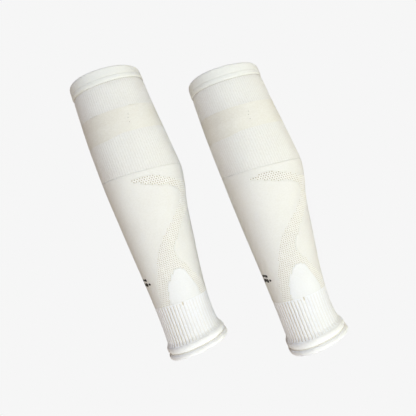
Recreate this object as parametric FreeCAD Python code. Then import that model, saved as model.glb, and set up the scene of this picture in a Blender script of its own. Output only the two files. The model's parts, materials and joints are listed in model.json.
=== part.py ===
import FreeCAD, Part
import math
import os

# A pair of circular-knit calf sleeves in their worn shape, lying side by side on a flat surface.
# Millimetres and degrees. Each sleeve lies along Y with its knee end towards +Y, its shin side
# towards -X and its calf side towards +X. Z is up, and the surface is at z = 0.

# ---- driving dimensions -------------------------------------------------------------------------
LENGTH = 365.0              # ankle rim to knee rim, measured along the middle of the sleeve
KNIT = 1.4                  # thickness of the single knit
ANKLE_RIB_KNIT = 1.8        # thickness of the ankle rib
WELT = 3.2                  # thickness of the doubled welt at the knee
ROLL_INSIDE = 1.7           # depth of the ankle rolls below the leg form's skin
HEM_BULGE = 2.8             # how far the hem roll stands proud
CUFF_BULGE = 3.0            # how far the cuff roll stands proud
GAP = 0.1                   # clearance between neighbouring zones
SPACING_X = 147.5           # from one sleeve to the other, across
SPACING_Y = -48.2           # from one sleeve to the other, along
SPLAY = 0.35                # each sleeve's ankle end is swung outwards by this angle
REST_STATION = 260.0        # the middle of the flat that each sleeve rests on

# Where one knit zone ends and the next begins, from the ankle rim towards the knee.
HEM_END = 6.5
CUFF_END = 15.0
ANKLE_RIB_END = 64.4
LEG_END = 235.5
LOWER_RIB_END = 285.0
GRIP_END = 316.0
UPPER_RIB_END = 350.6

# Seams and the yarn inside the folded edges. A pair is two depths below the leg form's skin, and a
# depth below zero is above it.
ANKLE_SEAM = (-1.2, KNIT)
ANKLE_SEAM_WIDTH = 0.7
ANKLE_SEAM_GROOVE = 1.0     # groove between the hem roll and the cuff roll
KNEE_SEAM = (0.1, KNIT)
KNEE_SEAM_WIDTH = 0.6
KNEE_SEAM_GROOVE = 0.8
WELT_SPACE = (1.1, 2.1)     # open space between the welt's two plies
WELT_RIM = 2.5              # the welt is closed this near its rim
WELT_ELASTIC = (1.2, 2.0)
WELT_ELASTIC_ROWS = 4
WELT_ELASTIC_PITCH = 2.8
ROLL_SPACE = (0.6, 1.35)    # open space inside each ankle roll
ROLL_SPACE_WIDTH = 4.4
ROLL_SPACE_OFFSET = 2.6     # from the groove to the middle of the space, on both sides
ROLL_ELASTIC = (0.68, 1.27)
ROLL_ELASTIC_OFFSETS = (-4.0, -2.4, 2.4, 4.0)
ELASTIC_WIDTH = 0.8

# A roll's rounded outside: share of its width, share of its bulge.
ROLL_PROFILE = [(0.0, 0.35), (0.2, 0.85), (0.5, 1.0), (0.8, 0.85), (1.0, 0.35)]

# Leg form: distance from the ankle rim, reach to the shin side, reach to the calf side.
FORM = [
    (0.0, 34.6, 43.4),
    (20.0, 34.4, 38.4),
    (45.0, 34.6, 36.5),
    (81.0, 36.2, 38.4),
    (133.0, 38.9, 44.8),
    (185.0, 41.1, 51.9),
    (211.0, 42.1, 58.3),
    (231.0, 42.7, 61.4),
    (250.0, 43.2, 60.4),
    (289.0, 43.7, 56.6),
    (328.0, 43.1, 52.7),
    (365.0, 42.5, 50.3),
]
DEPTH_SHARE = 0.95          # half depth over the mean of the two reaches
UNDER_SHARE = 0.92          # height of the middle over the half depth: the underside is pressed flat
TOP_POWER = 2.2             # superellipse exponent of the upper half
UNDER_POWER = 2.7           # superellipse exponent of the lower half
REST_TRIM = 0.3             # the lowest skin is pressed flat by this much

# Slant of the knit courses: distance from the ankle rim, degrees (calf side nearer the knee is +).
SLANT = [
    (0.0, 5.0),
    (14.0, 4.4),
    (62.0, -0.8),
    (185.0, -3.6),
    (235.0, -4.2),
    (285.0, -2.4),
    (316.0, -1.8),
    (351.0, -0.9),
    (365.0, -1.8),
]
KNEE_LEAN = 6.0             # the knee rim leans outwards at the top, degrees
KNEE_LEAN_REACH = 18.0
MIDDLE_HEIGHT = 44.0        # height of the middle of the knee opening
ANKLE_LEAN = 3.4            # the ankle rim leans outwards at the top, degrees
ANKLE_LEAN_REACH = 30.0

# The two sleeves are worn a little differently, one the opposite way to the other. The knit is
# turned round the leg, its courses are slanted more, and its middle is slack towards the ankle.
TURN_ANKLE = 3.0            # degrees
TURN_KNEE = 5.6
EXTRA_SLANT_ANKLE = -0.4
EXTRA_SLANT_KNEE = 1.8
SLACK = 1.5

# Printed mark on the shin, two bars and a dot, each with round ends: distance from the ankle rim,
# height of its middle, straight length, end radius.
MARK = [(103.4, 48.6, 11.6, 1.9), (97.0, 46.8, 10.4, 2.7), (97.2, 57.4, 0.2, 1.5)]
MARK_RISE = 2.2             # the mark lies higher or lower by this, as the knit is turned
MARK_FILM = (84.0, 120.0)   # the mark is cut from a film between these stations
MARK_PROUD = (0.08, 0.3)    # the print's two faces stand this far above the knit

SECTION_POINTS = 24         # points of one section's outline
STATION_STEP = 27.0         # greatest distance between two sections
TOOL_MARGIN = 1.0           # cutting tools reach this far past what they cut
BEYOND_SHIN = -60.0         # a plane beyond the shin side of the widest section
TOOL_LOW = -10.0            # cutting prisms start below the floor
TOOL_HEIGHT = 140.0
FLOOR_BOX = (400.0, 600.0, 20.0)

# Each sleeve: name, and which way it is worn.
SLEEVES = [("left", 1), ("right", -1)]

V = FreeCAD.Vector


def smooth(table, s, column=1):
    """Read a column of a table at s, as a smooth curve through its rows."""
    rows = len(table)
    i = 0
    while i < rows - 2 and s > table[i + 1][0]:
        i += 1

    def slope(k):
        low = max(k - 1, 0)
        high = min(k + 1, rows - 1)
        return (table[high][column] - table[low][column]) / (table[high][0] - table[low][0])

    span = table[i + 1][0] - table[i][0]
    t = (s - table[i][0]) / span
    a = table[i][column]
    b = table[i + 1][column]
    ma = slope(i) * span
    mb = slope(i + 1) * span
    return (
        (2 * t**3 - 3 * t**2 + 1) * a
        + (t**3 - 2 * t**2 + t) * ma
        + (3 * t**2 - 2 * t**3) * b
        + (t**3 - t**2) * mb
    )


def superellipse(s, turn):
    """Point of the outer skin in its section: turn 0 is the shin, 90 the top, 180 the calf."""
    c = -math.cos(turn)
    h = math.sin(turn)
    shin = smooth(FORM, s, 1)
    calf = smooth(FORM, s, 2)
    half = DEPTH_SHARE * (shin + calf) / 2
    reach = shin if c < 0 else calf
    power = TOP_POWER if h >= 0 else UNDER_POWER
    depth = half if h >= 0 else half * UNDER_SHARE
    x = reach * math.copysign(abs(c) ** (2 / power), c)
    z = half * UNDER_SHARE - REST_TRIM + depth * math.copysign(abs(h) ** (2 / power), h)
    return x, z


def along(s, at_ankle, at_knee):
    return at_ankle + (at_knee - at_ankle) * s / LENGTH


def course_offset(sleeve, s, x, z):
    """How far a course stands from its own station at a point of the section."""
    way = sleeve[1]
    slant = smooth(SLANT, s) + way * along(s, EXTRA_SLANT_ANKLE, EXTRA_SLANT_KNEE)
    near_knee = max(0.0, 1 - (LENGTH - s) / KNEE_LEAN_REACH)
    near_ankle = max(0.0, 1 - s / ANKLE_LEAN_REACH)
    lean = math.tan(math.radians(KNEE_LEAN * near_knee**2)) * (z - MIDDLE_HEIGHT)
    lean -= math.tan(math.radians(ANKLE_LEAN * near_ankle)) * z
    slack = SLACK * math.sin(math.pi * s / LENGTH)
    return math.tan(math.radians(slant)) * x + lean - way * slack


def turned(sleeve, x, y):
    """A place in the plan view, after the knit is turned round the leg."""
    way = sleeve[1]
    reach = smooth(FORM, y, 1 if x < 0 else 2)
    if abs(x) >= reach:
        return x, y
    from_top = math.asin(abs(x / reach) ** (TOP_POWER / 2)) * math.copysign(1, x)
    from_top += way * math.radians(along(y, TURN_ANKLE, TURN_KNEE))
    moved = math.sin(min(max(from_top, -math.pi / 2), math.pi / 2))
    reach = smooth(FORM, y, 1 if moved < 0 else 2)
    moved_x = reach * math.copysign(abs(moved) ** (2 / TOP_POWER), moved)
    extra = math.radians(way * along(y, EXTRA_SLANT_ANKLE, EXTRA_SLANT_KNEE))
    slack = way * SLACK * math.sin(math.pi * y / LENGTH)
    return moved_x, y + math.tan(extra) * x - slack


def skin_point(sleeve, s, turn, inset):
    """Point at a depth below the outer skin, in the slanted plane of its course."""
    step = 0.02
    x, z = superellipse(s, turn)
    x0, z0 = superellipse(s, turn - step)
    x1, z1 = superellipse(s, turn + step)
    run = math.hypot(x1 - x0, z1 - z0)
    x += inset * (z1 - z0) / run
    z -= inset * (x1 - x0) / run
    return V(x, s + course_offset(sleeve, s, x, z), z)


def section_wire(sleeve, s, inset):
    """Closed outline of one section, in four quarters that meet at the shin, top, calf and underside."""
    turns = [2 * math.pi * i / SECTION_POINTS for i in range(SECTION_POINTS)]
    curve = Part.BSplineCurve()
    curve.interpolate(
        Points=[skin_point(sleeve, s, turn, inset) for turn in turns],
        Parameters=[float(i) for i in range(SECTION_POINTS + 1)],
        PeriodicFlag=True,
    )
    quarter = SECTION_POINTS / 4
    return Part.Wire([curve.toShape(quarter * i, quarter * (i + 1)) for i in range(4)])


def stations(low, high):
    count = max(1, math.ceil((high - low) / STATION_STEP))
    return [low + (high - low) * i / count for i in range(count + 1)]


def loft(sleeve, rows):
    """Solid through sections given as (station, inset)."""
    wires = [section_wire(sleeve, s, inset) for s, inset in rows]
    return Part.makeLoft(wires, True, False)


def shell(sleeve, low, high, outer, inner):
    """Tube of knit from station low to high, between two insets below the leg form's skin."""
    skin = loft(sleeve, [(s, outer) for s in stations(low, high)])
    rows = [low - TOOL_MARGIN] + stations(low, high) + [high + TOOL_MARGIN]
    hollow = loft(sleeve, [(s, inner) for s in rows])
    return skin.cut(hollow)


def ring(sleeve, s, depths, width):
    """Ring between two depths below the skin, in the course at station s."""
    return shell(sleeve, s - width / 2, s + width / 2, *depths)


def roll(sleeve, low, high, bulge):
    """Rolled edge: a ring whose outside is rounded by the bulge."""
    width = high - low
    skin = loft(sleeve, [(low + width * t, -bulge * share) for t, share in ROLL_PROFILE])
    ends = (low - TOOL_MARGIN, low, high, high + TOOL_MARGIN)
    hollow = loft(sleeve, [(s, ROLL_INSIDE) for s in ends])
    return skin.cut(hollow)


def above_floor(shape):
    length, width, height = FLOOR_BOX
    floor = Part.makeBox(length, width, height, V(-length / 2, (LENGTH - width) / 2, -height))
    return shape.cut(floor)


# ---- the ventilation zone's outline, seen from above (X, Y), the same on both sides of the leg -----
WEDGE_TIP = (-12.5, 226.3)
WEDGE_TOP = [WEDGE_TIP, (4.9, 227.2), (20.3, 225.5), (34.0, 219.6), (49.0, 212.5), (75.0, 199.0)]
CALF_EDGE = [(75.0, 196.0), (58.0, 183.0), (43.1, 166.8), (30.6, 151.6), (18.0, 133.9), (14.6, 126.4)]
BRANCH_EDGE = [(14.6, 126.4), (25.0, 105.0), (33.5, 86.0), (36.0, 68.0), (36.0, 45.0)]
ARCH = [(28.8, 45.0), (28.6, 69.0), (24.3, 90.7), (18.0, 103.6), (11.5, 107.2), (3.5, 102.6),
        (-5.9, 91.1), (-10.6, 75.0), (-12.5, 45.0)]
STRIP_EDGE = [(-22.3, 45.0), (-22.2, 68.4), (-20.8, 87.0), (-14.2, 109.5), (-5.4, 131.5), (5.6, 147.2),
              (26.8, 167.3), (43.3, 186.5), (46.6, 194.0), (46.2, 200.5), (41.0, 206.0),
              (21.2, 213.1), (4.0, 220.5), WEDGE_TIP]


def spline_edge(points):
    curve = Part.BSplineCurve()
    curve.interpolate(points)
    return curve.toShape()


def flat_spline(points):
    return spline_edge([V(x, y, 0) for x, y in points])


def flat_line(a, b):
    return Part.makeLine(V(a[0], a[1], 0), V(b[0], b[1], 0))


def mesh_prism(sleeve, grow):
    """Upright prism of the ventilation zone, its outline grown outwards by a small amount."""
    curves = [WEDGE_TOP, CALF_EDGE, BRANCH_EDGE, ARCH, STRIP_EDGE]
    wedge, calf, branch, arch, strip = [[turned(sleeve, x, y) for x, y in curve] for curve in curves]
    edges = [
        flat_spline(wedge),
        flat_line(wedge[-1], calf[0]),
        flat_spline(calf),
        flat_spline(branch),
        flat_line(branch[-1], arch[0]),
        flat_spline(arch),
        flat_line(arch[-1], strip[0]),
        flat_spline(strip),
    ]
    outline = Part.Wire(edges)
    if grow:
        grown = outline.makeOffset2D(grow)
        outline = Part.Wire([spline_edge(edge.discretize(16)) for edge in grown.OrderedEdges])
    return Part.Face(outline).extrude(V(0, 0, TOOL_HEIGHT)).translated(V(0, 0, TOOL_LOW))


def round_ended_column(y, middle, straight, radius):
    """Prism from beyond the shin inwards, whose section is an upright bar with round ends."""
    low = middle - straight / 2
    high = middle + straight / 2
    left = V(BEYOND_SHIN, y - radius, low)
    right = V(BEYOND_SHIN, y + radius, low)
    right_top = V(BEYOND_SHIN, y + radius, high)
    left_top = V(BEYOND_SHIN, y - radius, high)
    outline = Part.Wire([
        Part.Arc(left, V(BEYOND_SHIN, y, low - radius), right).toShape(),
        Part.makeLine(right, right_top),
        Part.Arc(right_top, V(BEYOND_SHIN, y, high + radius), left_top).toShape(),
        Part.makeLine(left_top, left),
    ])
    return Part.Face(outline).extrude(V(-BEYOND_SHIN, 0, 0))


def printed_mark(sleeve):
    """Small plain printed mark on the shin, above the ankle rib."""
    rise = sleeve[1] * MARK_RISE
    near_face, far_face = MARK_PROUD
    film = shell(sleeve, *MARK_FILM, -far_face, -near_face)
    columns = [
        round_ended_column(y, middle + rise, straight, radius)
        for y, middle, straight, radius in MARK
    ]
    return Part.makeCompound([film.common(column) for column in columns])


def sleeve_nodes(sleeve):
    """Every piece of one sleeve, by name, with the ankle rim's station at y = 0."""
    nodes = {}
    half_gap = GAP / 2

    # Ankle end: a rolled hem, a seam thread in the groove, and the turned cuff above it.
    hem = roll(sleeve, 0.0, HEM_END - ANKLE_SEAM_GROOVE / 2, HEM_BULGE)
    cuff = roll(sleeve, HEM_END + ANKLE_SEAM_GROOVE / 2, CUFF_END, CUFF_BULGE)
    hem_space = ring(sleeve, HEM_END - ROLL_SPACE_OFFSET, ROLL_SPACE, ROLL_SPACE_WIDTH)
    cuff_space = ring(sleeve, HEM_END + ROLL_SPACE_OFFSET, ROLL_SPACE, ROLL_SPACE_WIDTH)
    nodes["ankle_hem"] = hem.cut(hem_space)
    nodes["ankle_cuff"] = cuff.cut(cuff_space)
    nodes["ankle_seam_thread"] = ring(sleeve, HEM_END, ANKLE_SEAM, ANKLE_SEAM_WIDTH)
    nodes["ankle_elastic"] = Part.makeCompound([
        ring(sleeve, HEM_END + offset, ROLL_ELASTIC, ELASTIC_WIDTH) for offset in ROLL_ELASTIC_OFFSETS
    ])

    # Knit zones of the leg.
    ankle_rib_end = ANKLE_RIB_END - half_gap
    nodes["ankle_rib"] = shell(sleeve, CUFF_END + half_gap, ankle_rib_end, 0.0, ANKLE_RIB_KNIT)
    leg = shell(sleeve, ANKLE_RIB_END + half_gap, LEG_END - half_gap, 0.0, KNIT)
    mesh = leg.common(mesh_prism(sleeve, 0))
    plain = sorted(leg.cut(mesh_prism(sleeve, GAP)).Solids, key=lambda solid: -solid.Volume)
    nodes["vent_mesh"] = mesh
    nodes["shin_panel"] = plain[0]
    nodes["calf_panel"] = plain[1]
    nodes["ankle_arches"] = Part.makeCompound(plain[2:4])
    nodes["lower_rib"] = shell(sleeve, LEG_END + half_gap, LOWER_RIB_END - half_gap, 0.0, KNIT)
    nodes["grip_band"] = shell(sleeve, LOWER_RIB_END + half_gap, GRIP_END - half_gap, 0.0, KNIT)
    upper_rib_end = UPPER_RIB_END - KNEE_SEAM_GROOVE / 2
    nodes["upper_rib"] = shell(sleeve, GRIP_END + half_gap, upper_rib_end, 0.0, KNIT)

    # Knee end: the doubled welt, open inside for its elastic yarn and closed by the seam thread.
    welt = shell(sleeve, UPPER_RIB_END + KNEE_SEAM_GROOVE / 2, LENGTH, 0.0, WELT)
    welt_space = shell(sleeve, UPPER_RIB_END - TOOL_MARGIN, LENGTH - WELT_RIM, *WELT_SPACE)
    nodes["knee_welt"] = welt.cut(welt_space)
    nodes["knee_seam_thread"] = ring(sleeve, UPPER_RIB_END, KNEE_SEAM, KNEE_SEAM_WIDTH)
    elastic_rows = [UPPER_RIB_END + WELT_ELASTIC_PITCH * (i + 1) for i in range(WELT_ELASTIC_ROWS)]
    nodes["knee_elastic"] = Part.makeCompound([
        ring(sleeve, s, WELT_ELASTIC, ELASTIC_WIDTH) for s in elastic_rows
    ])
    nodes["printed_mark"] = printed_mark(sleeve)
    return {name: Part.makeCompound(above_floor(shape).Solids) for name, shape in nodes.items()}


def build():
    parts = {}
    for index, sleeve in enumerate(SLEEVES):
        side = index - 0.5
        place = V(side * SPACING_X, side * SPACING_Y, 0)
        for name, shape in sleeve_nodes(sleeve).items():
            shape.rotate(V(0, REST_STATION, 0), V(0, 0, 1), -sleeve[1] * SPLAY)
            parts[sleeve[0] + "_" + name] = shape.translated(place)
    box = FreeCAD.BoundBox()
    for shape in parts.values():
        box.add(shape.optimalBoundingBox(False))
    centre = V(-box.Center.x, -box.Center.y, 0)
    print("origin moved by", centre)
    os.makedirs("parts", exist_ok=True)
    for name, shape in parts.items():
        placed = shape.translated(centre)
        placed.exportStep("parts/" + name + ".step")
        print(name, len(placed.Solids), placed.isValid(), round(placed.Volume, 1))


build()
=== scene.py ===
import json
import math

import bpy
import numpy as np
from mathutils import Matrix, Vector
from mathutils.bvhtree import BVHTree


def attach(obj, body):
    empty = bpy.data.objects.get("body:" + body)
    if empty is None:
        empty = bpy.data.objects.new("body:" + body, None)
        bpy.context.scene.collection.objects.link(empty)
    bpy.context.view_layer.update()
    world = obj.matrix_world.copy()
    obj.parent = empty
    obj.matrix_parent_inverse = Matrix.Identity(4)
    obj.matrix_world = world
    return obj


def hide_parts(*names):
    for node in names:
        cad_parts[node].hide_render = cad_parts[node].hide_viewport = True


# A pair of circular-knit calf sleeves, each built stitch by stitch on its worn leg form. Lengths in
# this file are millimetres, and only the finished meshes, the lights and the camera are in metres.
# A place on a sleeve is a station, measured from the ankle rim towards the knee, and a wale, one of
# the columns of stitches counted from the shin over the outer side to the calf and back underneath.

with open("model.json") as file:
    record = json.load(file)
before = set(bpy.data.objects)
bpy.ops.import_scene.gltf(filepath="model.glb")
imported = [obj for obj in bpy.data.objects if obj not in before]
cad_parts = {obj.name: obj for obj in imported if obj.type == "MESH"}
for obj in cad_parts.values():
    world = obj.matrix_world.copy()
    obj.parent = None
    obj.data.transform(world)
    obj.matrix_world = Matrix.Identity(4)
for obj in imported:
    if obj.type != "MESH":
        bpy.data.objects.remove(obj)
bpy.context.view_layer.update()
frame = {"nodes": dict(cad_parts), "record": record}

MM = 0.001

# ---- the leg form, as in the CAD source ---------------------------------------------------------
LENGTH = 365.0              # station of the knee rim
HEM_END = 6.5               # stations where one zone ends and the next begins
CUFF_END = 15.0
ANKLE_RIB_END = 64.4
LEG_END = 235.5
LOWER_RIB_END = 285.0
GRIP_END = 316.0
UPPER_RIB_END = 350.6
WELT = 3.2                  # thickness of the doubled welt at the knee
ROLL_INSIDE = 1.7           # depth of the ankle rolls below the leg form's skin
HEM_BULGE = 2.8             # how far the hem roll stands proud
CUFF_BULGE = 3.0            # how far the cuff roll stands proud
SPLAY = math.radians(0.35)  # each sleeve's ankle end is swung outwards by this angle
REST_STATION = 260.0        # the rest mount lies under this station, and the splay turns about it
FORM = [                    # station, reach to the shin side, reach to the calf side
    (0.0, 34.6, 43.4),
    (20.0, 34.4, 38.4),
    (45.0, 34.6, 36.5),
    (81.0, 36.2, 38.4),
    (133.0, 38.9, 44.8),
    (185.0, 41.1, 51.9),
    (211.0, 42.1, 58.3),
    (231.0, 42.7, 61.4),
    (250.0, 43.2, 60.4),
    (289.0, 43.7, 56.6),
    (328.0, 43.1, 52.7),
    (365.0, 42.5, 50.3),
]
DEPTH_SHARE = 0.95          # half depth over the mean of the two reaches
UNDER_SHARE = 0.92          # depth of the lower half over that of the upper half
TOP_POWER = 2.2             # superellipse exponent of the upper half
UNDER_POWER = 2.7           # superellipse exponent of the lower half
REST_TRIM = 0.3             # the lowest skin is pressed flat by this much
SLANT = [                   # station, degrees by which the courses rise from the shin to the calf
    (0.0, 5.0),
    (14.0, 4.4),
    (62.0, -0.8),
    (185.0, -3.6),
    (235.0, -4.2),
    (285.0, -2.4),
    (316.0, -1.8),
    (351.0, -0.9),
    (365.0, -1.8),
]
KNEE_LEAN = 6.0             # the knee rim leans outwards at the top, degrees
KNEE_LEAN_REACH = 18.0
MIDDLE_HEIGHT = 44.0        # height of the middle of the knee opening
ANKLE_LEAN = 3.4            # the ankle rim leans outwards at the top, degrees
ANKLE_LEAN_REACH = 30.0
TURN_ANKLE = 3.0            # the knit is turned round the leg by this, degrees, one way on the left
TURN_KNEE = 5.6             # sleeve and the other way on the right one
EXTRA_SLANT_ANKLE = -0.4    # degrees, also one way on each sleeve
EXTRA_SLANT_KNEE = 1.8
SLACK = 1.5                 # halfway up, the courses lie off by this, one way on each sleeve
MARK = [                    # lengthwise place, height, straight length, and radius of the ends
    (103.4, 48.6, 11.6, 1.9),
    (97.0, 46.8, 10.4, 2.7),
    (97.2, 57.4, 0.2, 1.5),
]
MARK_RISE = 2.2             # the mark lies higher or lower by this, as the knit is turned
MARKED_FURROW = (62, 2.5)   # station, and distance from the sleeve's middle line
KNOTS = [                   # the same, of the knots on the grip band
    (305.5, 18.1),
    (301.5, 16.8),
    (295.8, 16.8),
]

# ---- the knit -----------------------------------------------------------------------------------
WALES = 200                 # needles of the knitting machine
COURSE = 1.26               # height of one course of stitches
KNIT = 1.25                 # thickness of the single knit
FINE_RIB_DEPTH = 0.34
ANKLE_RIB_DEPTH = 0.8
ANKLE_RIB_WALES = 4
ANKLE_RIB_COLUMNS = 500
JERSEY_RELIEF = 0.12
PARITY_RELIEF = 0.05        # neighbouring stitches stand out and in by this
INNER_RELIEF = 0.6          # the knit's relief and shade on its inner side, as shares of the outer
INNER_SHADE = 0.5
FLOOR_TOUCH = 0.05          # the lowest stitches are pressed flat just above the floor


def smooth(table, s):
    """Columns of a table as smooth curves through its rows, read at the stations s."""
    table = np.array(table)
    x = table[:, 0]
    y = table[:, 1:]
    high = np.minimum(np.arange(len(x)) + 1, len(x) - 1)
    low = np.maximum(np.arange(len(x)) - 1, 0)
    slopes = (y[high] - y[low]) / (x[high] - x[low])[:, None]
    i = np.clip(np.searchsorted(x, s) - 1, 0, len(x) - 2)
    span = x[i + 1] - x[i]
    t = ((s - x[i]) / span)[..., None]
    rise_before = slopes[i] * span[..., None]
    rise_after = slopes[i + 1] * span[..., None]
    value = (
        (2 * t**3 - 3 * t**2 + 1) * y[i]
        + (t**3 - 2 * t**2 + t) * rise_before
        + (3 * t**2 - 2 * t**3) * y[i + 1]
        + (t**3 - t**2) * rise_after
    )
    return np.moveaxis(value, -1, 0)


def half_depth(shin, calf):
    """Half the depth of a section that reaches this far to the shin and to the calf."""
    return DEPTH_SHARE * (shin + calf) / 2


def middle_height(half):
    """Height above the floor of the middle of a section of this half depth."""
    return half * UNDER_SHARE - REST_TRIM


def arc(half, above):
    """Power and depth of a section's upper arc, where above is true, or else of its lower arc."""
    return np.where(above, TOP_POWER, UNDER_POWER), np.where(above, half, half * UNDER_SHARE)


def outline(s, turn):
    """The outer skin in a section. Turn 0 is the shin, a quarter turn the top, a half the calf."""
    shin, calf = smooth(FORM, s)
    c = -np.cos(turn)
    h = np.sin(turn)
    half = half_depth(shin, calf)
    reach = np.where(c < 0, shin, calf)
    power, depth = arc(half, h >= 0)
    x = reach * np.sign(c) * np.abs(c) ** (2 / power)
    z = middle_height(half) + depth * np.sign(h) * np.abs(h) ** (2 / power)
    return x, z


def soft_step(x):
    """Rises smoothly from 0 to 1 while x does."""
    x = np.clip(x, 0, 1)
    return x * x * (3 - 2 * x)


class Sleeve:
    """The worn form of one sleeve and where it lies."""

    def __init__(self, name, way):
        self.name = name
        self.body = name + "_sleeve"
        self.way = way
        mounts = frame["record"]["mounts"]
        rest = next(m for m in mounts if m["name"] == name + "_rest")
        self.origin = np.array(rest["pos_m"]) / MM - np.array([0, REST_STATION, 0])
        self.space_wales_evenly()

    def space_wales_evenly(self):
        """Makes a table of the turn at each station and half wale, evenly spaced round the skin.
        The shin and the calf divide the wales into two equal halves."""
        self.step = 2.5
        margin = 5
        self.stations = np.arange(-margin, LENGTH + margin + self.step, self.step)
        fine = np.linspace(0, 2 * math.pi, 1441)
        rows = []
        for s in self.stations:
            x, z = outline(np.full(fine.shape, s), fine)
            along = np.concatenate([[0], np.cumsum(np.hypot(np.diff(x), np.diff(z)))])
            middle = len(fine) // 2
            over = along[: middle + 1] / along[middle] * WALES / 2
            under = (along[middle:] - along[middle]) / (along[-1] - along[middle])
            wales = np.concatenate([over, WALES / 2 + under[1:] * WALES / 2])
            rows.append(np.interp(np.linspace(0, WALES, 2 * WALES + 1), wales, fine))
        self.turns = np.array(rows)

    def knit_turn(self, s):
        """How many wales the knit is turned round the leg at a station."""
        degrees = TURN_ANKLE + (TURN_KNEE - TURN_ANKLE) * s / LENGTH
        return self.way * degrees / 360 * WALES

    def turn(self, s, wale):
        """The turn round the form at a station and a wale of knit that isn't turned."""
        wale = np.mod(wale, WALES)
        a = (s - self.stations[0]) / self.step
        i = np.clip(a.astype(int), 0, len(self.stations) - 2)
        f = a - i
        b = wale * 2
        j = np.clip(b.astype(int), 0, 2 * WALES - 1)
        g = b - j
        low = self.turns[i, j] * (1 - g) + self.turns[i, j + 1] * g
        high = self.turns[i + 1, j] * (1 - g) + self.turns[i + 1, j + 1] * g
        return low * (1 - f) + high * f

    def skin(self, s, wale, out):
        """Points in metres that stand out from the form's skin by out, in the shared frame."""
        s, wale, out = np.broadcast_arrays(np.asarray(s, float), wale, out)
        turn = self.turn(s, wale + self.knit_turn(s))
        beside = 0.02
        x, z = outline(s, turn)
        x0, z0 = outline(s, turn - beside)
        x1, z1 = outline(s, turn + beside)
        run = np.hypot(x1 - x0, z1 - z0)
        out = out + self.wander(s, wale)
        x = x - out * (z1 - z0) / run
        z = z + out * (x1 - x0) / run
        y = s + self.course_offset(s, x, z)
        z = np.maximum(z, FLOOR_TOUCH)
        swing = -self.way * SPLAY
        from_rest = y - REST_STATION
        turned_x = x * math.cos(swing) - from_rest * math.sin(swing)
        turned_y = x * math.sin(swing) + from_rest * math.cos(swing) + REST_STATION
        return (np.stack([turned_x, turned_y, z], -1) + self.origin) * MM

    def course_offset(self, s, x, z):
        """How far a course stands from its own station."""
        extra = EXTRA_SLANT_ANKLE + (EXTRA_SLANT_KNEE - EXTRA_SLANT_ANKLE) * s / LENGTH
        slant = smooth(SLANT, s)[0] + self.way * extra
        near_knee = np.maximum(0, 1 - (LENGTH - s) / KNEE_LEAN_REACH)
        near_ankle = np.maximum(0, 1 - s / ANKLE_LEAN_REACH)
        lean = np.tan(np.radians(KNEE_LEAN * near_knee**2)) * (z - MIDDLE_HEIGHT)
        lean = lean - np.tan(np.radians(ANKLE_LEAN * near_ankle)) * z
        slack = SLACK * np.sin(math.pi * s / LENGTH)
        return np.tan(np.radians(slant)) * x + lean - self.way * slack

    def on_shin(self, y, z):
        """Station and wale of the places on the shin side at lengthwise places y and heights z."""
        rounds = 4
        s = y
        for _ in range(rounds):
            half = half_depth(*smooth(FORM, s))
            up = z - middle_height(half)
            power, depth = arc(half, up >= 0)
            turn = np.sign(up) * np.arcsin(np.minimum(1, np.abs(up / depth)) ** (power / 2))
            x = outline(s, turn)[0]
            s = y - self.course_offset(s, x, z)
        rows = np.clip((s - self.stations[0]) / self.step, 0, len(self.stations) - 1).astype(int)
        wales = np.linspace(0, WALES, 2 * WALES + 1)
        whole = np.mod(turn, 2 * math.pi)
        places = zip(whole.ravel(), rows.ravel())
        wale = np.array([np.interp(angle, self.turns[row], wales) for angle, row in places])
        return s, wale.reshape(s.shape) - self.knit_turn(s)

    @staticmethod
    def wander(s, wale):
        """Slow, slight unevenness of soft fabric."""
        a = wale * 2 * math.pi / WALES
        return 0.16 * np.sin(s / 23 + 2 * np.sin(a)) + 0.12 * np.sin(s / 41 + 3 * a + 1) - 0.2

    def wale_at(self, s, x):
        """The wale on the upper side that passes a distance x from the sleeve's middle line."""
        wales = np.linspace(0, WALES / 2, 801)
        stations = np.full(wales.shape, float(s))
        place = outline(stations, self.turn(stations, wales))
        return float(np.interp(x, place[0], wales))

    def girth(self, s):
        """Length round the worn form at a station."""
        turn = np.linspace(0, 2 * math.pi, 721)
        x, z = outline(np.full(turn.shape, float(s)), turn)
        return float(np.hypot(np.diff(x), np.diff(z)).sum())


SLEEVES = [Sleeve("left", 1), Sleeve("right", -1)]


# ---- meshes -------------------------------------------------------------------------------------
def new_piece(sleeve, name, points, faces, knit_uv, shade, material, nodes=()):
    """Makes a piece from numpy arrays, with its stitch coordinates as a UV map and its shade
    attribute, mostly painted shade.
    """
    used, inverse = np.unique(faces, return_inverse=True)
    faces = inverse.reshape(faces.shape)
    points = points[used]
    full_name = sleeve.name + "_" + name + ("_knit" if nodes else "")
    mesh = bpy.data.meshes.new(full_name)
    sides = faces.shape[1]
    mesh.vertices.add(len(points))
    mesh.vertices.foreach_set("co", points.astype(np.float32).ravel())
    mesh.loops.add(faces.size)
    mesh.loops.foreach_set("vertex_index", faces.astype(np.int32).ravel())
    mesh.polygons.add(len(faces))
    mesh.polygons.foreach_set("loop_start", np.arange(0, faces.size, sides, dtype=np.int32))
    mesh.polygons.foreach_set("use_smooth", np.ones(len(faces), bool))
    uv = knit_uv[used][faces]
    across = uv[:, :, 0].max(1) - uv[:, :, 0].min(1) > WALES / 2
    uv[:, :, 0] += np.where(across[:, None] & (uv[:, :, 0] < WALES / 2), WALES, 0)
    mesh.uv_layers.new(name="knit").data.foreach_set("uv", uv.astype(np.float32).ravel())
    attribute = mesh.attributes.new("shade", "FLOAT", "POINT")
    attribute.data.foreach_set("value", shade[used].astype(np.float32))
    mesh.update()
    mesh.validate()
    piece = bpy.data.objects.new(full_name, mesh)
    bpy.context.scene.collection.objects.link(piece)
    mesh.materials.append(material)
    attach(piece, sleeve.body)
    if nodes:
        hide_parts(*[sleeve.name + "_" + node for node in nodes])
    return piece


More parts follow.
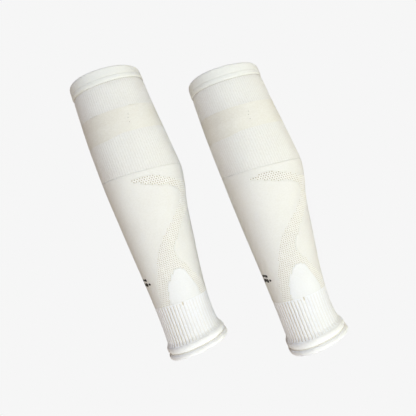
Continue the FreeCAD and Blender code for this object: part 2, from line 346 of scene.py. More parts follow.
def shell_faces(mask):
    """Faces of a closed shell over the marked cells of a lattice whose columns close into a ring.
    The lattice's outer points come first, row by row, and then its inner points."""
    rows, columns = mask.shape
    inner = (rows + 1) * columns
    j, i = np.nonzero(mask)
    k = (i + 1) % columns
    a = j * columns + i
    b = j * columns + k
    c = (j + 1) * columns + k
    d = (j + 1) * columns + i
    below = np.vstack([np.zeros((1, columns), bool), mask[:-1]])[j, i]
    above = np.vstack([mask[1:], np.zeros((1, columns), bool)])[j, i]
    before = np.roll(mask, 1, axis=1)[j, i]
    after = np.roll(mask, -1, axis=1)[j, i]

    def wall(open_side, start, end):
        e = start[~open_side]
        f = end[~open_side]
        return np.stack([e, e + inner, f + inner, f], 1)

    return np.concatenate([
        np.stack([a, b, c, d], 1),
        np.stack([a, d, c, b], 1) + inner,
        wall(below, a, b),
        wall(above, c, d),
        wall(before, d, a),
        wall(after, b, c),
    ])


INSIDE_OUT = [0, 3, 2, 1]   # this order of a quad's corners turns its other side outwards


def tube_quads(rows, columns, joined=False):
    """Quads between neighbouring rows of a table of points whose rows are rings. If the tube is
    joined, its last row meets the first one."""
    j, i = np.indices((rows if joined else rows - 1, columns)).reshape(2, -1)
    n = (j + 1) % rows
    k = (i + 1) % columns
    return np.stack([j * columns + i, j * columns + k, n * columns + k, n * columns + i], 1)


def stitch_places(s, wale):
    """Stitch coordinates of points, one row with the wale and the course for each."""
    return np.stack([wale, s / COURSE], -1).reshape(-1, 2)


def band(sleeve, name, low, high, columns, relief, material):
    """A closed band of knit between two edges, which may be stations or functions of the wale. It
    stands for the CAD node of its name."""
    row_height = COURSE / 2
    wales = np.arange(columns) * WALES / columns
    low_edge = low(wales) if callable(low) else np.full(columns, low)
    high_edge = high(wales) if callable(high) else np.full(columns, high)
    height = float(np.mean(high_edge - low_edge))
    rows = max(2, 2 * round(height / row_height / 2))
    share = np.linspace(0, 1, rows + 1)[:, None]
    s = low_edge + (high_edge - low_edge) * share
    w = np.broadcast_to(wales, s.shape)
    parity = (np.arange(rows + 1)[:, None] + np.arange(columns)[None]) % 2
    out, shade = relief(s, w, parity)
    outer = sleeve.skin(s, w, out)
    inner = sleeve.skin(s, w, out * INNER_RELIEF - KNIT)
    points = np.concatenate([outer.reshape(-1, 3), inner.reshape(-1, 3)])
    uv = stitch_places(s, w)
    shade = np.broadcast_to(shade, s.shape).ravel()
    faces = shell_faces(np.ones((rows, columns), bool))
    piece = new_piece(
        sleeve, name, points, faces, np.concatenate([uv, uv]),
        np.concatenate([shade, shade * INNER_SHADE]), material, [name],
    )
    middle = float(low_edge[0] + high_edge[0]) / 2
    sleeve.girth(middle)


def loop_ring(sleeve, name, profiles, relief, material, nodes, shade=0.0):
    """A ring whose section is bounded by closed loops of (station, out) points. Seen with the knee
    end up and the outside to the left, an outer loop runs clockwise and a hollow's loop
    anticlockwise. The shade is a number or a function of the station."""
    columns = 2 * WALES
    wales = np.arange(columns) * WALES / columns
    points = []
    faces = []
    uvs = []
    shades = []
    start = 0
    for profile in profiles:
        s, out = np.array(profile, float).T
        w = np.broadcast_to(wales, (len(s), columns))
        s = np.broadcast_to(s[:, None], w.shape)
        points.append(sleeve.skin(s, w, out[:, None] + relief(s, w)).reshape(-1, 3))
        uvs.append(stitch_places(s, w))
        shades.append((shade(s) if callable(shade) else np.full(s.shape, shade)).ravel())
        faces.append(tube_quads(len(profile), columns, joined=True) + start)
        start += len(profile) * columns
    return new_piece(
        sleeve, name, np.concatenate(points), np.concatenate(faces), np.concatenate(uvs),
        np.concatenate(shades), material, nodes,
    )


# ---- reliefs ------------------------------------------------------------------------------------
def jersey(w):
    """Height of plain knit: each wale is a low ridge."""
    return -JERSEY_RELIEF * (0.5 + 0.5 * np.cos(2 * math.pi * w))


def stitch_parity(parity):
    """Small steps out and in from each stitch to the next."""
    return PARITY_RELIEF * (2 * parity - 1)


def wales_from_shin(w):
    return np.minimum(w, WALES - w)


def fine_rib(s, w, parity):
    """Ribs of one wale, pulled in a little where they meet the knee seam."""
    furrow_shade = 0.22
    pull = 0.7
    pull_reach = 5
    ridge = 0.5 - 0.5 * np.cos(math.pi * w)
    uneven = 0.75 + 0.25 * np.sin(s * 1.24 + 1.7 * np.sin(w * 0.31)) * np.sin(w * 0.9 + s * 0.11)
    out = -FINE_RIB_DEPTH * (1 - ridge**0.7) * uneven + stitch_parity(parity) * ridge
    drawn_in = pull * soft_step((s - UPPER_RIB_END + pull_reach) / pull_reach)
    return out - drawn_in, (1 - ridge) ** 2 * furrow_shade * uneven


def close_knit(s, w, parity):
    """Uneven close knit, a tone darker beside the shin and most of all in the band's upper half."""
    upper_start = 299
    sunk = 0.08
    crinkle = np.sin(s * 2.1 + 2.3 * np.sin(w * 1.3)) * np.sin(w * 2.2 + 1.9 * np.sin(s * 0.9))
    out = jersey(w) - sunk + stitch_parity(parity) + 0.07 * crinkle
    upper = soft_step((s - upper_start) / 2.5)
    beside_shin = soft_step((62 - wales_from_shin(w)) / 24)
    return out, 0.04 + (0.10 + 0.10 * upper) * beside_shin + 0.05 * crinkle


def bell(x, width):
    """A smooth hump of height 1 round 0."""
    return np.exp(-((x / width) ** 2))


def ankle_rib(marked_wale):
    """Broad ribs with narrow furrows, which are deepest beside the shin and fade at the rib's upper
    end. The ribs rise to the cuff, and one furrow has a small mark at its top."""
    period = ANKLE_RIB_WALES
    crease_depth = 0.12
    rise = 1.5
    mark_start = 59
    mark_depth = 0.3
    mark_shade = 0.8

    def relief(s, w, parity):
        x = np.mod(w + period / 2, period) - period / 2
        furrow = bell(x, 0.62)
        crease = bell(np.abs(x) - period / 2, 0.35)
        ends = soft_step((ANKLE_RIB_END - s) / 2.5)
        near_shin = soft_step((60 - wales_from_shin(w)) / 36)
        out = -ANKLE_RIB_DEPTH * furrow * (0.25 + 0.75 * ends) * (0.5 + 1.2 * near_shin)
        out = out - crease_depth * crease + stitch_parity(parity) * (1 - furrow)
        out = out + rise * soft_step((CUFF_END + 4 - s) / 5)
        mark = bell(w - marked_wale, 0.8) * soft_step((s - mark_start) / 2)
        # painted shade in the furrows, strongest beside the shin, and the small mark darker
        shade = furrow**2 * (0.3 + 1.1 * near_shin) * ends + mark_shade * mark
        return out - mark * mark_depth, shade

    return relief


# ---- the leg zone: plain panels and the eyelet mesh, on one lattice -----------------------------
LEG_COURSES = 136
LEG_GIRTH_STATION = 170     # the leg zone's mean girth is here
WEDGE_START = 196           # the eyelets grow darker above this station
EYELET = 2                  # an eyelet takes this many wales and courses
PLAIN_NODES = ["shin_panel", "calf_panel", "ankle_arches"]
RINGS = [                   # an eyelet's rings: share of the half cell, out, shade, which is painted shadow in the hole together with the tan of the thin yarn at its floor
    (0.80, 0.08, 0.0),
    (0.60, 0.00, 0.1),
    (0.46, -0.40, 0.75),
    (0.36, -0.75, 1.0),
    (0.05, -0.80, 1.0),
]


def owner_finder(sleeve, names):
    """Tells which of some CAD nodes lies nearest to each of many points."""
    trees = []
    for name in names:
        node = frame["nodes"][sleeve.name + "_" + name]
        corners = [v.co for v in node.data.vertices]
        trees.append(BVHTree.FromPolygons(corners, [p.vertices for p in node.data.polygons]))

    def find(points):
        distance = [[tree.find_nearest(Vector(p))[3] for p in points] for tree in trees]
        return np.argmin(np.array(distance), axis=0)

    return find


def eyelet_cells(sleeve, stations):
    """Starts (course, wale) of the eyelets whose middles lie in the CAD model's mesh zone."""
    starts = []
    for row in range(0, LEG_COURSES, EYELET):
        shift = (row // EYELET) % EYELET
        starts += [(row, wale + shift) for wale in range(0, WALES, EYELET)]
    starts = np.array(starts)
    s = stations[starts[:, 0] + EYELET // 2]
    middles = sleeve.skin(s, starts[:, 1] + EYELET / 2, 0.0)
    owner = owner_finder(sleeve, PLAIN_NODES + ["vent_mesh"])(middles)
    return starts[owner == len(PLAIN_NODES)]


def declare_leg_cloth(sleeve, mask):
    """A leg zone's flat width is its share of the stitches round the leg."""
    share = float(mask.sum()) / mask.size
    girth = sleeve.girth(LEG_GIRTH_STATION) * share


def leg_zone(sleeve, materials):
    """The plain panels and the mesh, which share the points of one lattice of stitches."""
    stations = np.linspace(ANKLE_RIB_END, LEG_END, LEG_COURSES + 1)
    columns = 2 * WALES
    wales = np.arange(columns) / 2
    s, w = np.meshgrid(stations, wales, indexing="ij")
    outer = sleeve.skin(s, w, jersey(w))
    inner = sleeve.skin(s, w, jersey(w) - KNIT)
    lattice = np.concatenate([outer.reshape(-1, 3), inner.reshape(-1, 3)])
    uv = np.concatenate([stitch_places(s, w)] * 2)

    starts = eyelet_cells(sleeve, stations)
    mesh_mask = np.zeros((LEG_COURSES, columns), bool)
    for row, wale in starts:
        cells = (2 * wale + np.arange(2 * EYELET)) % columns
        mesh_mask[row : row + EYELET, cells] = True

    middle_s, middle_w = np.meshgrid(
        (stations[:-1] + stations[1:]) / 2, np.arange(WALES) + 0.5, indexing="ij"
    )
    middles = sleeve.skin(middle_s, middle_w, 0.0).reshape(-1, 3)
    owner = owner_finder(sleeve, PLAIN_NODES)(middles).reshape(LEG_COURSES, WALES)
    owner = np.repeat(owner, 2, axis=1)
    for index, name in enumerate(PLAIN_NODES):
        mask = (owner == index) & ~mesh_mask
        material = materials["knit_arch" if name == "ankle_arches" else "knit_leg"]
        piece = new_piece(
            sleeve, name, lattice, shell_faces(mask), uv, np.zeros(len(lattice)), material,
            [name],
        )
        declare_leg_cloth(sleeve, mask)
    vent_mesh(sleeve, lattice, uv, stations, starts, mesh_mask, materials["knit_mesh"])


def vent_mesh(sleeve, lattice, uv, stations, starts, mask, material):
    """The eyelet knit: every cell is a ring of fabric round a deep hole that thin yarn closes."""
    columns = 2 * WALES
    inner_start = (LEG_COURSES + 1) * columns
    side = 2 * EYELET           # the lattice has two columns for each wale
    edge = [(0, i) for i in range(side + 1)]
    edge += [(j, side) for j in range(1, EYELET + 1)]
    edge += [(EYELET, i) for i in range(side - 1, -1, -1)]
    edge += [(j, 0) for j in range(EYELET - 1, 0, -1)]
    edge = np.array(edge)
    angle = np.arctan2(edge[:, 0] - EYELET / 2, (edge[:, 1] - side / 2) / 2)
    row = starts[:, 0][:, None] + edge[:, 0][None]
    column = (2 * starts[:, 1][:, None] + edge[:, 1][None]) % columns
    outer = row * columns + column

    jitter_spread = 0.035
    size_spread = 0.06
    random = np.random.default_rng(7)
    jitter = random.normal(0, jitter_spread, (len(starts), 2))
    size = 1 + random.normal(0, size_spread, len(starts))
    s_middle = stations[starts[:, 0] + EYELET // 2]
    strength = 0.75 + 0.35 * soft_step((s_middle - WEDGE_START) / 12)
    course = stations[1] - stations[0]
    loops = [outer]
    points = [lattice]
    uvs = [uv]
    shades = [np.zeros(len(lattice))]
    total = len(lattice)
    for share, out, shade in RINGS:
        radius = share * size[:, None] * EYELET / 2
        w = starts[:, 1][:, None] + EYELET / 2 + jitter[:, :1] + radius * np.cos(angle)
        s = s_middle[:, None] + course * (jitter[:, 1:] + radius * np.sin(angle))
        points.append(sleeve.skin(s, w, out).reshape(-1, 3))
        uvs.append(stitch_places(s, np.mod(w, WALES)))
        shades.append(np.broadcast_to(shade * strength[:, None], s.shape).ravel())
        loops.append(total + np.arange(s.size).reshape(s.shape))
        total += s.size

    faces = []
    for near, far in zip(loops[:-1], loops[1:]):
        next_near = np.roll(near, -1, axis=1)
        next_far = np.roll(far, -1, axis=1)
        faces.append(np.stack([near, next_near, next_far, far], -1).reshape(-1, 4))
    floor = loops[-1]
    count = len(edge)
    for k in range(count // 2 - 1):
        corners = [floor[:, k], floor[:, k + 1], floor[:, count - 2 - k], floor[:, count - 1 - k]]
        faces.append(np.stack(corners, 1))
    shell = shell_faces(mask)
    on_outer = (shell < inner_start).all(1)
    faces.append(shell[~on_outer])
    piece = new_piece(
        sleeve, "vent_mesh", np.concatenate(points), np.concatenate(faces), np.concatenate(uvs),
        np.concatenate(shades), material, ["vent_mesh"],
    )
    declare_leg_cloth(sleeve, mask)


# ---- edges and seams ----------------------------------------------------------------------------
GROOVE = 1.0                # gap between the two ankle rolls
WELT_LINE = 5.6             # a faint line runs round the welt this far above the knee seam


def wale_relief(s, w):
    """Faint wales on the rolls and the seam rings, the same at every station."""
    return jersey(w) * 0.6


def rounded_loop(low, high, inside, outside, points, power=2.5):
    """Closed loop with rounded corners, between two stations and two distances from the skin."""
    turn = np.arange(points) * 2 * math.pi / points
    c = np.cos(turn)
    h = np.sin(turn)
    s = (low + high) / 2 + (high - low) / 2 * np.sign(c) * np.abs(c) ** (2 / power)
    out = (inside + outside) / 2 - (outside - inside) / 2 * np.sign(h) * np.abs(h) ** (2 / power)
    return list(zip(s, out))


def hollow_roll(low, high, bulge):
    """A rolled edge of single knit with a space inside. It is widest where the leg's skin is."""
    ply = 1.0

    def loop(low, high, inside, outside, points):
        rounded = rounded_loop(low, high, -1.0, 1.0, points, power=2.0)
        return [(s, out * outside if out > 0 else out * inside) for s, out in rounded]

    outer = loop(low, high, ROLL_INSIDE, bulge, 28)
    hollow = loop(low + ply, high - ply, ROLL_INSIDE - ply, bulge - ply, 14)
    return [outer, hollow[::-1]]


def welt_section():
    """The folded welt: outer ply, rim, inner ply, and the space between the plies."""
    seam_gap = 0.35
    low = UPPER_RIB_END + seam_gap
    radius = WELT / 2
    ply = 1.1
    top = LENGTH - radius
    outside = [(s, 0.0) for s in np.linspace(low, top, 26)]
    rim = [
        (top + radius * math.sin(a), -radius + radius * math.cos(a))
        for a in np.linspace(0, math.pi, 13)[1:-1]
    ]
    inside = [(s, -WELT) for s in np.linspace(top, low, 14)]
    space = [(s, ply - WELT) for s in np.linspace(low, top, 6)]
    space += [(s, -ply) for s in np.linspace(top, low, 6)]
    return [outside + rim + inside + space]


def welt_line(s):
    """How strongly a station belongs to the faint line round the welt."""
    return bell(s - UPPER_RIB_END - WELT_LINE, 0.6)


def welt_shade(s):
    """The welt's line is a little darker."""
    return 0.3 * welt_line(s)


def welt_relief(s, w):
    """Soft fullness on both sides of the welt's line, drawn in at the knee seam."""
    fullness = 0.65
    line_depth = 0.4
    seam_depth = 0.5
    seam = bell(s - UPPER_RIB_END, 1.1)
    full = soft_step((s - UPPER_RIB_END) / 2.5) * soft_step((LENGTH + 3 - s) / 6)
    return fullness * full - line_depth * welt_line(s) - seam_depth * seam + jersey(w) * 0.5


def stitch_line(sleeve, name, station, out, length, slope, material):
    """A row of short stitches, each a small bent thread that dives into the fabric at both ends.
    A stitch's length is in wales, and its slope is how much nearer the knee its far end lies."""
    sections = 7
    sides = 6
    pitch = 2.0
    radius = 0.17
    dive = 0.45
    count = int(WALES / pitch)
    middle = np.arange(count)[:, None, None] * pitch + pitch / 2
    along = np.linspace(-0.5, 0.5, sections)[None, :, None]
    turn = (np.arange(sides) * 2 * math.pi / sides)[None, None, :]
    taper = np.sqrt(np.clip(1 - (2 * along) ** 4, 0.04, 1))
    w, s, lift = np.broadcast_arrays(
        middle + along * length,
        station + along * slope + radius * taper * np.sin(turn),
        out - dive * (2 * along) ** 2 + radius * taper * np.cos(turn),
    )
    points = sleeve.skin(s, w, lift).reshape(-1, 3)
    quads = tube_quads(sections, sides)[:, INSIDE_OUT]
    caps = np.array([[0, 1, 2, 3], [0, 3, 4, 5]])
    last = (sections - 1) * sides
    faces = np.concatenate([quads, caps, caps[:, ::-1] + last])
    starts = np.arange(count) * sections * sides
    faces = (faces[None] + starts[:, None, None]).reshape(-1, 4)
    new_piece(
        sleeve, name, points, faces, stitch_places(s, w), np.zeros(len(points)), material
    )


def knee_edge(sleeve, materials):
    """The folded welt, the ring of knit under its seam, and the seam's stitches."""
    welt_middle = 357
    welt = loop_ring(
        sleeve, "knee_welt", welt_section(), welt_relief,
        materials["knit_welt"], ["knee_welt"], welt_shade,
    )
    sleeve.girth(welt_middle)
    seam_start = UPPER_RIB_END - 0.9
    seam_end = UPPER_RIB_END + 0.8
    seam = rounded_loop(seam_start, seam_end, inside=-1.7, outside=-0.6, points=12)
    loop_ring(
        sleeve, "knee_seam", [seam], wale_relief,
        materials["knit_rib"], ["knee_seam_thread"], shade=0.35,
    )
    # the seam's stitches are grey as painted shadow of the pits where the rib furrows meet the seam
    stitch_line(
        sleeve, "knee_seam_stitches", UPPER_RIB_END, out=-0.35, length=1.2, slope=0.35,
        material=materials["seam_thread"],
    )


def ankle_edge(sleeve, materials):
    """The cuff roll, the hem roll, the seam in the groove between them, and its stitches."""
    cuff_start = HEM_END + GROOVE / 2
    hem_end = HEM_END - GROOVE / 2
    cuff_middle = 10
    hem_middle = 3
    white = materials["knit_cuff"]
    cuff = loop_ring(
        sleeve, "ankle_cuff", hollow_roll(cuff_start, CUFF_END, CUFF_BULGE), wale_relief,
        white, ["ankle_cuff"],
    )
    sleeve.girth(cuff_middle)
    hem = loop_ring(
        sleeve, "ankle_hem", hollow_roll(0.0, hem_end, HEM_BULGE), wale_relief,
        white, ["ankle_hem"],
    )
    sleeve.girth(hem_middle)
    seam = rounded_loop(HEM_END - 1.2, HEM_END + 1.2, inside=-1.5, outside=0.7, points=12)
    loop_ring(
        sleeve, "ankle_seam", [seam], wale_relief,
        white, ["ankle_seam_thread"], shade=0.6,
    )
    stitch_line(
        sleeve, "ankle_seam_stitches", HEM_END, out=0.7, length=1.5, slope=0.5,
        material=materials["thread"],
    )


def printed_mark(sleeve, materials):
    """Small plain mark, two bars with round ends and a dot, laid on the stitches of the shin."""
    shares = np.array([0.02, 0.25, 0.5, 0.75, 0.96, 1.0, 1.0])[:, None]    # from middle to edge
    lift = np.array([0.1, 0.1, 0.1, 0.1, 0.1, 0.06, -0.1])[:, None]
    turn = np.arange(48) * 2 * math.pi / 48
    points = []
    faces = []
    uvs = []
    for middle_y, middle_z, straight, radius in MARK:
        y = middle_y + radius * np.cos(turn) * shares
        end = straight / 2 * np.sign(np.sin(turn))
        z = middle_z + sleeve.way * MARK_RISE + (radius * np.sin(turn) + end) * shares
        s, w = sleeve.on_shin(y, z)
        faces.append(tube_quads(*y.shape)[:, INSIDE_OUT] + y.size * len(points))
        points.append(sleeve.skin(s, w, jersey(w) + lift).reshape(-1, 3))
        uvs.append(stitch_places(s, w))
    points = np.concatenate(points)
    new_piece(
        sleeve, "printed_mark", points, np.concatenate(faces), np.concatenate(uvs),
        np.zeros(len(points)), materials["print"], ["printed_mark"],
    )


def band_dots(sleeve, materials):
    """Three small dark knots in a line on the grip band."""
    half_length = 0.55
    half_width = 0.36
    height = 0.22
    sunk = 0.1
    rings = np.linspace(0.08, 1, 5)[:, None]
    turn = (np.arange(12) * 2 * math.pi / 12)[None]
    for index, (station, x) in enumerate(KNOTS):
        s = station + half_length * rings * np.sin(turn)
        w = sleeve.wale_at(station, x) + half_width * rings * np.cos(turn)
        lift = height * np.sqrt(1 - (rings * 0.98) ** 2) - sunk
        points = sleeve.skin(s, w, lift).reshape(-1, 3)
        new_piece(
            sleeve, "band_dot_%d" % (index + 1), points, tube_quads(*s.shape)[:, INSIDE_OUT],
            stitch_places(s, w), np.zeros(len(points)), materials["seam_thread"],
        )


# ---- materials ----------------------------------------------------------------------------------
COLOUR_A = 6                # the Mix node's colour sockets, whose names are not unique
COLOUR_B = 7
MIXED_COLOUR = 2


class MaterialNodes:
    """A new material with a Principled shader, and short hand for its other nodes. The functions
    below call it n."""

    def __init__(self, name):
        self.material = bpy.data.materials.new(name)
        self.material.use_nodes = True
        self.tree = self.material.node_tree
        self.tree.nodes.clear()
        output = self.add("ShaderNodeOutputMaterial")
        self.shader = self.add("ShaderNodeBsdfPrincipled")
        self.link(self.shader.outputs[0], output.inputs["Surface"])

    def add(self, kind, **settings):
        node = self.tree.nodes.new(kind)
        for key, value in settings.items():
            setattr(node, key, value)
        return node

    def link(self, source, target):
        """Feeds an input from another node's output, or sets it to a number."""
        if isinstance(source, (int, float)):
            target.default_value = source
        else:
            self.tree.links.new(source, target)

    def set_shader(self, values):
        for name, value in values.items():
            self.shader.inputs[name].default_value = value

    def math(self, operation, a, b=0.0):
        node = self.add("ShaderNodeMath", operation=operation)
        self.link(a, node.inputs[0])
        self.link(b, node.inputs[1])
        return node.outputs[0]

    def mix(self, factor, a, b):
        """A blend of two fixed colours."""
        node = self.add("ShaderNodeMix", data_type="RGBA")
        self.link(factor, node.inputs["Factor"])
        node.inputs[COLOUR_A].default_value = (*a, 1.0)
        node.inputs[COLOUR_B].default_value = (*b, 1.0)
        return node.outputs[MIXED_COLOUR]

    def noise(self, scale, detail=2.0):
        place = self.add("ShaderNodeTexCoord")
        node = self.add("ShaderNodeTexNoise")
        node.inputs["Scale"].default_value = scale
        node.inputs["Detail"].default_value = detail
        self.link(place.outputs["Object"], node.inputs["Vector"])
        return node.outputs["Fac"]

    def bump(self, height, distance, strength, under=None):
        """A normal bent by a height map, on top of another normal if there is one."""
        node = self.add("ShaderNodeBump")
        node.inputs["Strength"].default_value = strength
        node.inputs["Distance"].default_value = distance
        self.link(height, node.inputs["Height"])
        if under is not None:
            self.link(under, node.inputs["Normal"])
        return node.outputs[0]


def stitch_speckle(n):
    """A different value for every stitch."""
    uv = n.add("ShaderNodeUVMap", uv_map="knit")
    whole = n.add("ShaderNodeVectorMath", operation="FLOOR")
    n.link(uv.outputs[0], whole.inputs[0])
    speckle = n.add("ShaderNodeTexWhiteNoise", noise_dimensions="2D")
    n.link(whole.outputs[0], speckle.inputs["Vector"])
    return speckle.outputs["Value"]


def stitch_height(n):
    """The two slanted legs of each knit stitch, from the stitch coordinates."""
    slant = 1.1
    narrowness = 3.6
    uv = n.add("ShaderNodeUVMap", uv_map="knit")
    parts = n.add("ShaderNodeSeparateXYZ")
    n.link(uv.outputs[0], parts.inputs[0])
    across = n.math("ABSOLUTE", n.math("SUBTRACT", n.math("FRACT", parts.outputs[0]), 0.5))
    lifted = n.math("ADD", parts.outputs[1], n.math("MULTIPLY", across, slant))
    along = n.math("ABSOLUTE", n.math("SINE", n.math("MULTIPLY", lifted, math.pi)))
    leg = n.math("ABSOLUTE", n.math("SUBTRACT", across, 0.25))
    round_leg = n.math("SUBTRACT", 1.0, n.math("POWER", n.math("MULTIPLY", leg, narrowness), 2.0))
    return n.math("MULTIPLY", n.math("POWER", along, 0.6), n.math("MAXIMUM", round_leg, 0.0))


def knit_material(name, colour, hollow, relief=0.00022, uneven=0.10):
    """Knitted yarn: stitch legs, a little fuzz, slight unevenness, and warmer painted shade in the
    hollows between stitches.
    The relief is in metres, and uneven is how much one stitch differs from the next."""
    cloud_share = 0.10
    grain_share = 0.05
    # share of painted shade between the stitch legs
    gap_shade_share = 0.09
    n = MaterialNodes(name)
    height = stitch_height(n)
    cloud = n.noise(38.0)
    grain = n.noise(2600.0, 3.0)
    # the shade attribute mixes in more of the hollow colour, mostly as painted shade in furrows,
    # grooves and eyelets
    shade = n.add("ShaderNodeAttribute", attribute_name="shade").outputs["Fac"]
    # painted shade between the stitch legs, mixed towards the hollow colour
    gap_shade = n.math("MULTIPLY", n.math("SUBTRACT", 1.0, height), gap_shade_share)
    tone = n.math("ADD", n.math("MULTIPLY", n.math("SUBTRACT", cloud, 0.5), cloud_share), gap_shade)
    tone = n.math("ADD", tone, n.math("MULTIPLY", n.math("SUBTRACT", grain, 0.5), grain_share))
    speckle = n.math("SUBTRACT", stitch_speckle(n), 0.4)
    tone = n.math("ADD", tone, n.math("MULTIPLY", speckle, uneven))
    tone = n.math("MINIMUM", n.math("MAXIMUM", n.math("ADD", tone, shade), 0.0), 1.0)
    n.link(n.mix(tone, colour, hollow), n.shader.inputs["Base Color"])
    n.set_shader({
        "Roughness": 0.85,
        "Specular IOR Level": 0.2,
        "Sheen Weight": 0.3,
        "Sheen Roughness": 0.5,
    })
    fuzz = n.bump(grain, distance=0.00008, strength=0.5)
    n.link(n.bump(height, relief, strength=0.8, under=fuzz), n.shader.inputs["Normal"])
    return n.material


def thread_material(name, colour, hollow):
    """Twisted sewing thread, with painted shade in the grooves of its twist."""
    n = MaterialNodes(name)
    place = n.add("ShaderNodeTexCoord")
    wave = n.add("ShaderNodeTexWave", bands_direction="DIAGONAL")
    wave.inputs["Scale"].default_value = 900.0
    twist = wave.outputs["Fac"]
    n.link(place.outputs["Object"], wave.inputs["Vector"])
    n.link(n.mix(twist, hollow, colour), n.shader.inputs["Base Color"])
    n.set_shader({"Roughness": 0.6, "Sheen Weight": 0.2})
    n.link(n.bump(twist, distance=0.00006, strength=0.6), n.shader.inputs["Normal"])
    return n.material


def print_material(name):
    """Flat dark transfer print over the stitches, a little cracked."""
    ink = (0.004, 0.005, 0.007)
    cracked = (0.25, 0.24, 0.23)
    n = MaterialNodes(name)
    cracks = n.math("GREATER_THAN", n.noise(1500.0, 4.0), 0.72)
    n.link(n.mix(n.math("MULTIPLY", cracks, 0.1), ink, cracked), n.shader.inputs["Base Color"])
    n.set_shader({"Roughness": 0.55})
    n.link(n.bump(stitch_height(n), distance=0.0001, strength=0.5), n.shader.inputs["Normal"])
    return n.material


def make_materials():
    """Every material by its key. A knit has a colour for its yarn and one for the painted shade in
    its hollows.
    """
    # the warm colour of the painted shade in the hollows of the rib and leg knits
    warm_painted_shade = (0.52, 0.47, 0.405)
    return {
        "knit_cuff": knit_material("cuff_knit", (0.94, 0.95, 0.97), (0.60, 0.56, 0.49)),
        "knit_ankle": knit_material("ankle_knit", (0.858, 0.872, 0.915), (0.58, 0.51, 0.40)),
        "knit_welt": knit_material(
            "welt_knit", (0.803, 0.807, 0.785), (0.53, 0.52, 0.49), relief=0.00016
        ),
        "knit_rib": knit_material("rib_knit", (0.818, 0.815, 0.80), warm_painted_shade),
        "knit_leg": knit_material("leg_knit", (0.798, 0.793, 0.772), warm_painted_shade),
        "knit_arch": knit_material(
            "arch_knit", (0.803, 0.812, 0.826), (0.57, 0.54, 0.50), relief=0.00014
        ),
        # in the mesh, the hollow colour is painted shadow in the eyelets together with the tan of
        # the thin yarn at their floors
        "knit_mesh": knit_material("mesh_knit", (0.875, 0.87, 0.845), (0.50, 0.44, 0.36)),
        "knit_grip": knit_material(
            "grip_knit", (0.825, 0.811, 0.764), (0.58, 0.53, 0.44), uneven=0.16
        ),
        # grey yarn: on the knee seam's stitches it is painted shadow of the pits at the rib
        # furrows, and the grip band's dark knots are of it too
        "seam_thread": thread_material("seam_yarn", (0.52, 0.51, 0.47), (0.30, 0.29, 0.27)),
        "thread": thread_material("white_yarn", (0.82, 0.81, 0.77), (0.55, 0.53, 0.49)),
        "elastic": thread_material("elastic_yarn", (0.80, 0.78, 0.72), (0.52, 0.49, 0.43)),
        "print": print_material("transfer_print"),
    }


# ---- the whole sleeve ---------------------------------------------------------------------------
def grip_low_edge(wales):
    """The grip band's lower edge dips a little towards the shin."""
    dip = 3.2
    return LOWER_RIB_END - dip * soft_step((50 - wales_from_shin(wales)) / 16)


def build_sleeve(sleeve, materials):
    """All the pieces of one sleeve, from the ankle to the knee, and its elastic yarn's material."""
    overlap = 0.06
    cuff_overlap = 1.0
    seam_gap = 0.2
    fine_columns = 3 * WALES
    ankle_edge(sleeve, materials)
    marked_wale = ANKLE_RIB_WALES * round(sleeve.wale_at(*MARKED_FURROW) / ANKLE_RIB_WALES)
    band(
        sleeve, "ankle_rib", CUFF_END - cuff_overlap, ANKLE_RIB_END + overlap, ANKLE_RIB_COLUMNS,
        ankle_rib(marked_wale), materials["knit_ankle"],
    )
    leg_zone(sleeve, materials)
    band(
        sleeve, "lower_rib", LEG_END - overlap, grip_low_edge, fine_columns,
        fine_rib, materials["knit_rib"],
    )
    band(
        sleeve, "grip_band", grip_low_edge, GRIP_END, 2 * WALES,
        close_knit, materials["knit_grip"],
    )
    band(
        sleeve, "upper_rib", GRIP_END - overlap, UPPER_RIB_END - seam_gap, fine_columns,
        fine_rib, materials["knit_rib"],
    )
    knee_edge(sleeve, materials)
    printed_mark(sleeve, materials)
    band_dots(sleeve, materials)
    for name in ("ankle_elastic", "knee_elastic"):
        node = frame["nodes"][sleeve.name + "_" + name]
        node.data.materials.clear()
        node.data.materials.append(materials["elastic"])


# ---- camera, light and floor --------------------------------------------------------------------
ROLL = math.radians(20)     # the sleeves lean to the upper left in the picture
CAMERA_HEIGHT = 0.6765
CAMERA_PLACE = (-0.0082, 0.0062)
LENS = 41.97
SENSOR_WIDTH = 36.0
LIGHT_DISTANCE = 1.5
LIGHT_SIZE = 0.9
LIGHT_POWER = 11.45
AMBIENT = (0.278, 0.225, 0.172)     # the sky's own light, red, green and blue
FLOOR_TONE = 0.922
STAGE_RADIUS = 6.0          # metres, as all lengths in this section
SOFTBOXES = [               # name, direction (right, up, high), strength
    ("key_right", 0.6, 0.0, 0.8, (0.443, 0.530, 0.393)),
    ("mid_right", 0.8, 0.0, 0.6, (0.175, 0.165, 0.080)),
    ("front_fill", 0.0, -0.6, 0.8, (0.978, 0.966, 0.912)),
    ("back_fill", 0.0, 0.6, 0.8, (0.437, 0.538, 0.746)),
    ("low_front_right", 0.67, -0.67, 0.4, (0.087, 0.133, 0.390)),
    ("low_back_right", 0.67, 0.67, 0.4, (0.322, 0.271, 0.233)),
    ("low_right", 0.95, 0.0, 0.3, (0.15, 0.125, 0.03)),
]


def make_camera():
    """A camera that looks straight down, at the photograph's angle."""
    data = bpy.data.cameras.new("camera")
    data.lens = LENS
    data.sensor_width = SENSOR_WIDTH
    data.clip_start = 0.01
    camera = bpy.data.objects.new("camera", data)
    bpy.context.scene.collection.objects.link(camera)
    camera.matrix_world = Matrix.Translation((*CAMERA_PLACE, CAMERA_HEIGHT)) @ Matrix.Rotation(
        -ROLL, 4, "Z"
    )
    bpy.context.scene.camera = camera


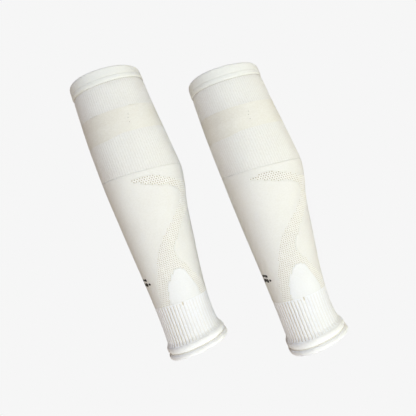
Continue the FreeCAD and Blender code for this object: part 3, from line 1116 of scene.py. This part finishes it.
def softbox(name, right, up, high, strength):
    """Round soft light that looks at the middle of the pair. Its direction is given as seen in the
    picture, and its strength for red, green and blue."""
    picture_right = Vector((math.cos(ROLL), -math.sin(ROLL), 0))
    picture_up = Vector((math.sin(ROLL), math.cos(ROLL), 0))
    place = picture_right * right + picture_up * up + Vector((0, 0, high))
    place = place.normalized() * LIGHT_DISTANCE
    data = bpy.data.lights.new(name, "AREA")
    data.shape = "DISK"
    data.size = LIGHT_SIZE
    data.energy = LIGHT_POWER * max(strength)
    data.color = [value / max(strength) for value in strength]
    light = bpy.data.objects.new(name, data)
    bpy.context.scene.collection.objects.link(light)
    light.location = place
    light.rotation_mode = "QUATERNION"
    light.rotation_quaternion = (-place).to_track_quat("-Z", "Y")


def plain_surface(name, tone):
    """A surface that shows its own even grey light."""
    material = bpy.data.materials.new(name)
    material.use_nodes = True
    tree = material.node_tree
    tree.nodes.clear()
    output = tree.nodes.new("ShaderNodeOutputMaterial")
    glow = tree.nodes.new("ShaderNodeEmission")
    glow.inputs["Color"].default_value = (tone, tone, tone, 1)
    tree.links.new(glow.outputs[0], output.inputs["Surface"])
    return material


def make_stage():
    """A pale floor disc that runs up into a dome. The camera sees it, but it lights nothing."""
    rings = 12
    sides = 64
    middle_hole = 0.0001
    top_hole = 0.001
    profile = [(STAGE_RADIUS * (j / rings) ** 2 + middle_hole, 0.0) for j in range(rings)]
    profile += [
        (STAGE_RADIUS * math.cos(a), STAGE_RADIUS * math.sin(a))
        for a in np.linspace(0, math.pi / 2 - top_hole, rings)
    ]
    turn = np.arange(sides) * 2 * math.pi / sides
    points = [(r * math.cos(t), r * math.sin(t), z) for r, z in profile for t in turn]
    mesh = bpy.data.meshes.new("floor")
    mesh.from_pydata(points, [], tube_quads(len(profile), sides).tolist())
    mesh.shade_smooth()
    mesh.materials.append(plain_surface("pale_floor", FLOOR_TONE))
    floor = bpy.data.objects.new("floor", mesh)
    bpy.context.scene.collection.objects.link(floor)
    floor.visible_diffuse = False
    floor.visible_glossy = False
    floor.visible_transmission = False
    floor.visible_shadow = False


def make_light():
    """An even warm sky and the softboxes."""
    scene = bpy.context.scene
    scene.view_settings.view_transform = "Standard"
    world = bpy.data.worlds.new("soft_sky")
    scene.world = world
    world.use_nodes = True
    background = world.node_tree.nodes["Background"]
    background.inputs["Color"].default_value = (*AMBIENT, 1)
    for values in SOFTBOXES:
        softbox(*values)


make_camera()
make_light()
make_stage()
MATERIALS = make_materials()
for each in SLEEVES:
    build_sleeve(each, MATERIALS)
